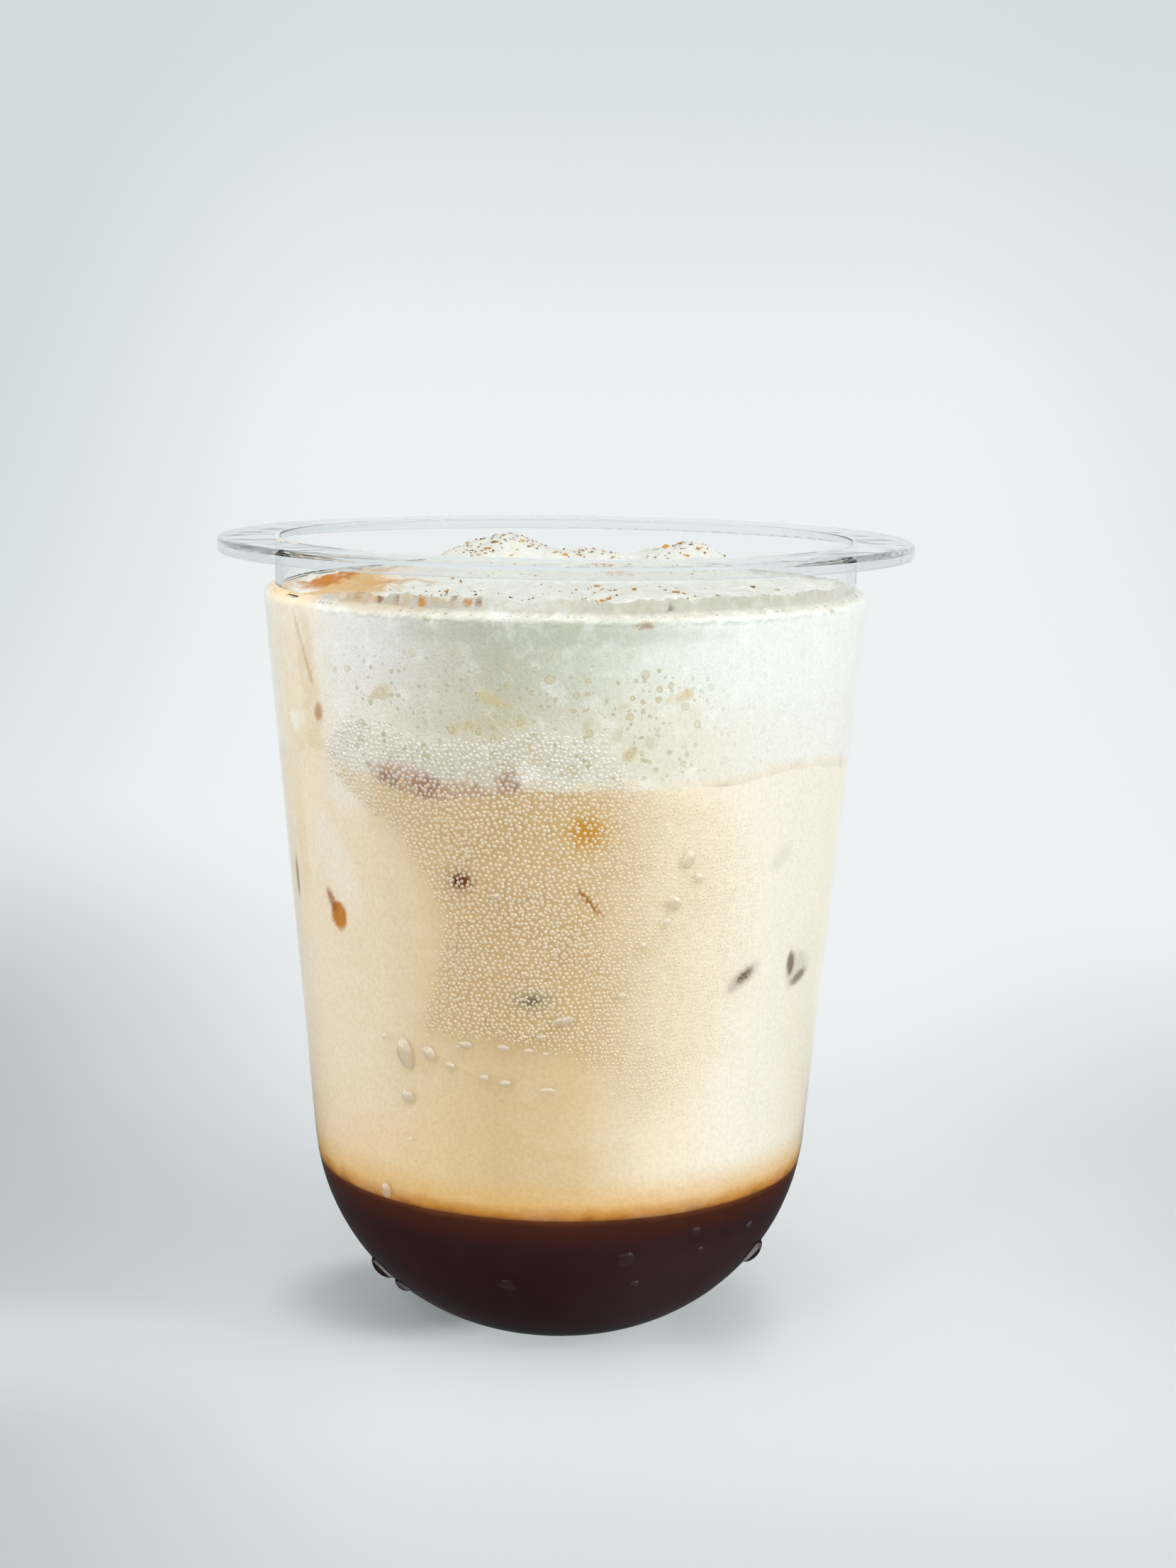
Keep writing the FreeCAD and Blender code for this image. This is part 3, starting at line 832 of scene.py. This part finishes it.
def blend_stains(colours, points, waver):
    """Colours with the stains on the foam's upper surface added."""
    above = ease(SHOULDER_Z, SHOULDER_Z + 1, points[:, 2])
    for right, behind, wide, deep, strength, colour in TOP_STAINS:
        reach = np.hypot((points[:, 0] - right) / wide, (points[:, 1] - behind) / deep)
        reach = reach + 0.25 * waver
        colours = blend_to(colours, colour, strength * above * ease(1.15, 0.65, reach))
    return colours


# ---------------- the cup

def dress_cup():
    """The CAD cup, in clear plastic."""
    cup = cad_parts["cup"]
    for place in cup.material_slots:
        place.material = plastic_material()


# ---------------- drops on the wall

DROP_SUNK = 0.06  # how far a drop's edge lies in the plastic


def add_dome(points, faces, drop, sides, rings, wobble=0):
    """Low drop on the wall: angle, height, width, tallness, tilt, rise."""
    angle, z, width, tall, tilt, rise = drop
    lean = radians(tilt)
    around, up, out = wall_axes(angle, z)
    middle = wall_point(angle, z)
    phase = random_turn()
    first = len(points)
    for ring in range(rings):
        part = 1 - ring / rings
        height = rise * (1 - part ** 2) ** 0.75 if ring else -DROP_SUNK
        for side in range(sides):
            turn = 2 * pi * side / sides
            waves = sin(2 * turn + phase) + 0.6 * sin(3 * turn + 2 * phase)
            uneven = 1 + wobble * waves
            u = part * uneven * width / 2 * cos(turn)
            v = part * uneven * tall / 2 * sin(turn)
            along = u * cos(lean) - v * sin(lean)
            rising = u * sin(lean) + v * cos(lean)
            curve = along ** 2 / (2 * hypot(middle.x, middle.y))
            points.append(middle + around * along + up * rising + out * (height - curve))
    points.append(middle + out * rise)
    for ring in range(rings - 1):
        faces += band(first + ring * sides, sides)
    base = first + (rings - 1) * sides
    for side in range(sides):
        faces.append((base + side, base + (side + 1) % sides, len(points) - 1))


# The rows of tiny drops: lowest and highest, and their ends in millimetres round the wall.
MIST_LOWEST, MIST_HIGHEST = 33, 89.5
MIST_LEFT, MIST_RIGHT = -34.5, 30
MIST_GAP = 0.62  # from drop to drop, at the front and 60 mm up
ROW_GAP = 0.87  # from row to row, as a share of that
SCATTER = 0.17  # how far a drop strays, as a share of that
BEND, BEND_SIZE = 0.9, 7  # how far the rows bend, and over what length


def mist_places():
    """Places of the tiny drops and their gaps, in rows that bend and tighten to the lower right."""
    random.seed(7)
    places = []
    z = MIST_LOWEST
    row = 0
    while z < MIST_HIGHEST:
        row_gap = MIST_GAP + 0.0016 * (z - 60)
        along = MIST_LEFT + (MIST_GAP / 2 if row % 2 else 0)
        while along < MIST_RIGHT:
            gap = row_gap * (1 - 0.0045 * along)
            bend = noise.noise(Vector((along / BEND_SIZE, z / BEND_SIZE, 3.1)))
            slip = noise.noise(Vector((along / BEND_SIZE, z / BEND_SIZE, 9.4)))
            at = along + BEND * bend + random.gauss(0, SCATTER) * gap
            height = z + BEND * slip + random.gauss(0, SCATTER) * gap
            places.append((degrees(at / MID_RADIUS), height, gap))
            along += gap
        z += row_gap * ROW_GAP
        row += 1
    return places


WEAKEST_DROP = 0.15  # drops weaker than this, near the patch's edge, are left out


def make_mist():
    """Fine condensation outside on the wall, smaller towards its edge, over coffee and foam."""
    places = mist_places()
    angles, heights, _ = zip(*places)
    depths = mist_depth(angles, heights)
    over_coffee, over_foam = ([], []), ([], [])
    for (angle, z, gap), depth in zip(places, depths):
        fade = 1.2 + 6 * float(ease(-10, 30, angle) * ease(88, 60, z))
        strength = depth / fade + random.gauss(0, 0.15)
        if depth < 0 or strength < WEAKEST_DROP:
            continue
        to_right = float(ease(0, 35, angle))
        thinner = 1 - 0.35 * to_right
        steepness = 0.27 - 0.1 * to_right
        size = thinner * gap * random.uniform(0.62, 0.88) * min(1, 0.45 + 0.55 * strength)
        points, faces = over_foam if z + random.gauss(0, 0.8) > FOAM_LINE + 0.5 else over_coffee
        drop = angle, z, size, size * random.uniform(0.9, 1.2), 0, size * steepness
        add_dome(points, faces, drop, sides=7, rings=2)
    shade = opaque(240, 234, 222)
    cream = water_material("coffee_mist_look", 0.35, opaque(248, 235, 206), shade, 0.5)
    white = water_material("foam_mist_look", 0.55, opaque(254, 253, 248), shade, 0.8)
    make_piece("condensation_low", *over_coffee, cream, "clear_plastic")
    make_piece("condensation_high", *over_foam, white, "clear_plastic")


# Larger drops over the coffee and foam: angle, height, width, tallness, tilt, rise.
WALL_DROPS = [
    (-34.1, 44.5, 2.3, 4.4, 8, 0.75), (-28, 45.1, 1.7, 2.2, 25, 0.6), (-39.4, 46.3, 0.9, 1, 0, 0.3),
    (-19.7, 46.9, 1.8, 1.1, 0, 0.4), (-21.6, 46.5, 0.6, 0.5, 0, 0.2),
    (-11.6, 46.9, 1.7, 0.9, 0, 0.35), (-6.5, 46.7, 1.3, 0.7, 0, 0.3), (-3, 46.3, 0.9, 0.6, 0, 0.25),
    (-23.2, 43.8, 1.2, 1, 0, 0.3), (-15.9, 42.6, 1.4, 1, 20, 0.35), (-11.4, 42.1, 1.6, 1, 0, 0.35),
    (-2.5, 41.4, 1.9, 0.7, 0, 0.25), (-34.1, 38.6, 1.9, 1.8, 0, 0.35),
    (-34, 32.6, 0.7, 0.8, 0, 0.25), (-42, 24.5, 1.7, 2.1, 0, 0.5), (0.5, 50.8, 2.6, 1.3, 8, 0.4),
    (-4, 48.6, 1.5, 0.8, 0, 0.3), (-12.6, 67, 1.1, 0.9, 0, 0.3), (24.5, 71.5, 1.7, 2.4, -20, 0.4),
    (22, 66, 2.2, 2, 0, 0.35), (27, 69, 1.2, 1.5, 0, 0.3), (20.5, 63.5, 1.2, 1.3, 0, 0.3),
    (16, 60.5, 1, 1.2, 0, 0.3), (12, 54, 1.2, 1, 0, 0.3),
]
# Drops over the chocolate, in the same way.
BOWL_DROPS = [
    (33.1, 20.2, 1.6, 1.3, 0, 0.4), (51.6, 18.4, 1.6, 1.4, 0, 0.4), (16, 17.2, 2.6, 2.4, 0, 0.45),
    (-12.6, 12.9, 2.8, 2.2, 0, 0.4), (19.8, 12.9, 1.6, 1.2, 0, 0.35), (36, 17, 1, 0.9, 0, 0.3),
    (-67, 8.4, 2.2, 4.2, 0, 0.9), (-60, 6.6, 2, 2.6, 0, 0.6), (68, 11.6, 2.2, 4.4, 0, 0.9),
]


def make_drops(name, drops, look):
    """Separate drops and drips on the outside of the wall."""
    points, faces = [], []
    for drop in drops:
        add_dome(points, faces, drop, sides=28, rings=8, wobble=0.06)
    make_piece(name, points, faces, look, "clear_plastic")


def make_large_drops():
    """Drops that look milky over the pale drink and clear over the chocolate."""
    random.seed(11)
    milky = water_material("wall_drop_look", 0.7, opaque(255, 250, 238), opaque(206, 190, 160), 0.9)
    clear = water_material("bowl_drop_look", 1, opaque(254, 254, 254), opaque(230, 230, 230), 0)
    make_drops("wall_drops", WALL_DROPS, milky)
    make_drops("bowl_drops", BOWL_DROPS, clear)


# ---------------- specks and flakes

FLAKE_CORNERS = 6
FLAKE_THICK = 0.15
FLAKE_LEAN = 0.5  # usual tilt, in radians


def add_flake(points, faces, middle, length, width):
    """Small uneven flake with a top, a bottom and an edge, turned and tilted at random."""
    corners, thick = FLAKE_CORNERS, FLAKE_THICK
    turn, lean = random_turn(), random.gauss(0, FLAKE_LEAN)
    rotation = Matrix.Rotation(turn, 3, "Z") @ Matrix.Rotation(lean, 3, "X")
    first = len(points)
    outline = []
    for corner in range(corners):
        way = 2 * pi * (corner + random.uniform(-0.3, 0.3)) / corners
        reach = random.uniform(0.6, 1)
        outline.append((reach * length / 2 * cos(way), reach * width / 2 * sin(way)))
    for level in (-thick / 2, thick / 2):
        curl = random.uniform(-0.3, 0.3) * thick
        for x, y in outline:
            points.append(middle + rotation @ Vector((x, y, level + curl * (x / length) * 2)))
    faces.append(tuple(first + corner for corner in reversed(range(corners))))
    faces.append(tuple(first + corners + corner for corner in range(corners)))
    faces += band(first, corners)


# Where powder fell on the foam: right, behind, spread, share of all.
POWDER_PATCHES = [
    (-9, 11, 7, 6), (5, 9, 4, 2), (17, 10, 5.5, 3), (8, -20, 12, 3), (-16, -20, 9, 2),
    (24, -24, 7, 1),
]


BARE_EDGE = 3  # no powder lies this near to the collar


def powder_places(count):
    """Places on the foam, thick where the powder fell."""
    shares = [patch[3] for patch in POWDER_PATCHES]
    places = []
    while len(places) < count:
        x, y, spread, _ = random.choices(POWDER_PATCHES, shares)[0]
        place = (random.gauss(x, spread / 1.6), random.gauss(y, spread / 1.6))
        if hypot(*place) < COLLAR_RADIUS - BARE_EDGE:
            places.append(place)
    return places


def make_flakes(name, seed, longest, places, colours):
    """Flakes of one kind lying on the foam; a place is right and behind, and may give a length."""
    random.seed(seed)
    points, faces, shades = [], [], []
    heights = foam_height(*np.array([place[:2] for place in places]).T)
    for place, z in zip(places, heights):
        length = place[2] if len(place) > 2 else longest * random.uniform(0.3, 1)
        width = length * random.uniform(0.35, 0.8)
        middle = Vector((place[0], place[1], z + FLAKE_THICK / 3))
        add_flake(points, faces, middle, length, width)
        shades += [random.random()] * (2 * FLAKE_CORNERS)
    look = flake_material(name + "_look", *colours)
    piece = make_piece(name, points, faces, look, "milk_foam", smooth=False)
    give_numbers(piece, "shade", shades)


# The largest flakes: right, behind, length.
LARGE_FLAKES = [
    (-1.5, 9, 1.3), (-0.2, 8.4, 1.1), (1.8, 9.4, 1.3), (5, 6.2, 1.9), (6.2, 6.8, 1.8),
    (7.4, 6, 1.5), (6.6, 9.6, 1.5), (9.8, 10, 1.6), (11.2, 9.4, 0.9), (14, 11, 1.7), (16, 11.5, 1),
    (16.8, 7.5, 1.5), (19.5, 9, 0.9), (-11, 7, 1.8), (-10, 8.4, 1.3), (4.7, -27, 1.6),
    (5.6, -26, 1.5), (3.9, -27.6, 1.2), (4.1, -12, 1.1), (12.2, -13, 2.1), (14.4, -17.6, 1.3),
    (15.2, -22, 1.3), (18.4, -12.5, 1.3), (9, -17, 1.3), (10.6, -14, 1.1),
]
# The largest specks, in the same way.
LARGE_SPECKS = [
    (25.4, -4, 1), (27.2, -7.5, 1.4), (28.6, -6, 0.9), (25.6, -21.5, 1.1), (24.8, -20, 0.7),
    (29.4, -13.8, 0.9), (30.6, -18.8, 1.2), (-18.4, -7, 0.9), (-14.2, -6, 1), (-7, -25, 0.9),
    (-0.8, -21.4, 0.5), (11, -12, 0.8),
]


def make_powder():
    """Fine cocoa specks and larger orange flakes of spice."""
    random.seed(21)
    specks = powder_places(400) + LARGE_SPECKS
    flakes = powder_places(34) + LARGE_FLAKES
    make_flakes("cocoa_specks", 22, 0.62, specks, (opaque(120, 80, 34), opaque(206, 164, 92)))
    make_flakes("spice_flakes", 23, 1.1, flakes, (opaque(214, 140, 30), opaque(244, 198, 96)))


# ---------------- studio

def seen_directly(tree):
    """1 for the camera and for what shows through clear pieces; and 1 for mirrored views."""
    rays = node(tree, "LightPath").outputs
    direct = math_node(tree, "MAXIMUM", rays["Is Camera Ray"], rays["Is Transmission Ray"])
    return direct, math_node(tree, "SUBTRACT", rays["Is Glossy Ray"], rays["Is Transmission Ray"])


# Painted shadows on the floor. Each is the place of its middle, right and behind, how far it
# reaches, how far it is at its full strength, its strength, and then its colour.
PAINTED_FLOOR_SHADOWS = [
    (-150, 90, 137, 20, 0.85, 176, 184, 189),
    (-60, 18, 60, 5, 0.15, 180, 186, 190),
    (-90, -120, 80, 20, 0.65, 186, 192, 196),
    (145, 50, 105, 20, 0.5, 196, 204, 204),
    (22, -4, 12, 3, 0.4, 192, 200, 200),
]
SHADOW_POOL_WIDTH = 0.45  # a painted shadow's width, as a share of its depth
CUP_SHADE = (-23, 1, 0)  # middle of the cup's shadow, kept as dark as the lamps make it


def paint_shadow_pool(tree, paint, place, pool):
    """Painted shadow round a place on the floor."""
    right, behind, reach, full, strength, *colour = pool
    flat = vector_math(tree, "MULTIPLY", place, (1, SHADOW_POOL_WIDTH, 0))
    centre = (right, SHADOW_POOL_WIDTH * behind, 0)
    gap = vector_math(tree, "DISTANCE", flat, centre, output="Value")
    return shaded(tree, paint, gap, reach, full, strength, colour)


def paper_colour_and_shade(tree, place, right, behind, up):
    """The paper's colour with painted shade: darker at the lower left and high up, at the right and
    the front, with painted shadows and a painted lighter strip ahead of the cup.
    """
    paper = opaque(238, 242, 243)
    # painted shade: darker towards the left, the right and the front
    paper = shaded(tree, paper, right, -80, -240, 0.9, (208, 218, 221))
    paper = shaded(tree, paper, right, 140, 270, 0.7, (222, 228, 231))
    paper = shaded(tree, paper, behind, -30, -100, 0.5, (202, 208, 210))
    # painted shadows round the cup
    for pool in PAINTED_FLOOR_SHADOWS:
        paper = paint_shadow_pool(tree, paper, place, pool)
    # painted light: a lighter strip on the floor ahead of the cup, at its left
    ahead = multiply(tree, ranged(tree, behind, 4, -14), ranged(tree, behind, -52, -24))
    painted_light_strip = multiply(tree, ahead, ranged(tree, right, -18, -40, 0.6))
    paper = mix(tree, painted_light_strip, paper, opaque(228, 232, 232))
    # painted shade: darker high up
    paper = shaded(tree, paper, up, 90, 300, 0.85, (210, 220, 222))
    fibre = noise_node(tree, place, 3, detail=4)
    return shaded(tree, paper, fibre, 0.3, 0.7, 0.02, (200, 205, 208))


def stage_material():
    """Matt paper sweep; much of what shows is the paper's own colour, with its painted shade.

    The cup mirrors the near floor as a dark card, so that its edges stay as dark as the drink.
    """
    material, tree = new_material("paper_sweep")
    place = place_in_mm(tree)
    right, behind, up = node(tree, "SeparateXYZ", {0: place}).outputs[:3]
    paper = paper_colour_and_shade(tree, place, right, behind, up)
    lit = node(tree, "BsdfPrincipled", {"Base Color": paper, "Roughness": 0.85})
    own = node(tree, "Emission", {"Color": paper})
    direct, mirrored = seen_directly(tree)
    beside = vector_math(tree, "DISTANCE", place, CUP_SHADE, output="Value")
    kept = math_node(tree, "SUBTRACT", ranged(tree, behind, 20, 210, 1, 0.5),
                     ranged(tree, beside, 21, 10, 0.35))
    plain = mix_shaders(tree, multiply(tree, kept, direct), lit, own)
    card = mix(tree, ranged(tree, behind, 40, 160), opaque(74, 76, 78), paper)
    shown = node(tree, "Emission", {"Color": card})
    return finished(material, mix_shaders(tree, mirrored, plain, shown))


def make_stage():
    """Floor that curves up into a backdrop well behind the cup."""
    back, bend, height, half = 250, 900, 1800, 2200
    outline = [(-1800, 0)]
    for step in range(33):
        turn = pi / 2 * step / 32
        outline.append((back + bend * sin(turn), bend * (1 - cos(turn))))
    outline.append((back + bend, height))
    points = [(side * half, y, z) for y, z in outline for side in (-1, 1)]
    faces = [(2 * row, 2 * row + 1, 2 * row + 3, 2 * row + 2) for row in range(len(outline) - 1)]
    sweep = add_mesh("sweep", points, faces, stage_material())


# Lamps: name, azimuth, elevation, distance, width, height, power; in metres and watts.
LAMPS = [
    ("key", 62, 20, 1.4, 1, 0.8, 4.4),
    ("key_core", 58, 34, 1.3, 0.16, 0.16, 1.8),
    ("fill", -50, 20, 1.4, 0.9, 0.8, 2.85),
    ("fill_core", -30, 46, 1.3, 0.12, 0.12, 1.1),
    ("left", -95, 18, 1.2, 0.4, 0.8, 1.8),
    ("overhead", 20, 60, 1.3, 0.9, 0.9, 5),
]
LAMP_TARGET = Vector((0, 0, 0.06))


def make_lamp(name, azimuth, elevation, distance, width, height, power):
    """Soft rectangular lamp that looks at the middle of the cup."""
    turn, rise = radians(azimuth), radians(elevation)
    level = cos(rise)
    way = Vector((sin(turn) * level, -cos(turn) * level, sin(rise)))
    data = bpy.data.lights.new(name, "AREA")
    data.shape = "RECTANGLE"
    data.size, data.size_y, data.energy = width, height, power
    lamp = add_object(name, data)
    lamp.location = way * distance + LAMP_TARGET
    lamp.rotation_mode = "QUATERNION"
    lamp.rotation_quaternion = way.to_track_quat("Z", "Y")


def make_world():
    """Even pale surroundings."""
    world = bpy.data.worlds.new("studio")
    tree = empty_tree(world)
    clear = math_node(tree, "MAXIMUM", *seen_directly(tree))
    lights = node(tree, "Background", {"Color": opaque(250, 252, 255), "Strength": 0.35})
    seen = node(tree, "Background", {"Color": opaque(232, 238, 241)})
    node(tree, "OutputWorld", {"Surface": mix_shaders(tree, clear, lights, seen)})
    bpy.context.scene.world = world


# The photo's camera: place in metres, turns in radians, sensor's width and focal length.
CAMERA_PLACE = (0, -0.36071, 0.1346)
CAMERA_TURNS = (0.1628, -0.0094, 0.0131)
CAMERA_LENS = (36, 60.22)


def make_camera():
    """Camera at the photo's viewpoint: a little above the rim, looking slightly down."""
    pitch, yaw, roll = CAMERA_TURNS
    data = bpy.data.cameras.new("camera")
    data.sensor_width, data.lens = CAMERA_LENS
    camera = add_object("camera", data)
    turned = Matrix.Rotation(yaw, 3, "Z")
    ahead = turned @ Vector((0, cos(pitch), -sin(pitch)))
    right = turned @ Vector((1, 0, 0))
    up = turned @ Vector((0, sin(pitch), cos(pitch)))
    side = right * cos(roll) + up * sin(roll)
    top = up * cos(roll) - right * sin(roll)
    frame_axes = Matrix((side, top, -ahead)).transposed().to_4x4()
    camera.matrix_world = Matrix.Translation(CAMERA_PLACE) @ frame_axes
    bpy.context.scene.camera = camera


def make_studio():
    """Sweep, surroundings and soft lamps."""
    make_stage()
    make_world()
    for lamp in LAMPS:
        make_lamp(*lamp)
    bpy.context.scene.view_settings.view_transform = "Standard"


def main():
    """Camera, studio and the dressed drink."""
    make_camera()
    make_studio()
    dress_cup()
    make_chocolate()
    make_coffee()
    make_foam()
    make_mist()
    make_large_drops()
    make_powder()


main()
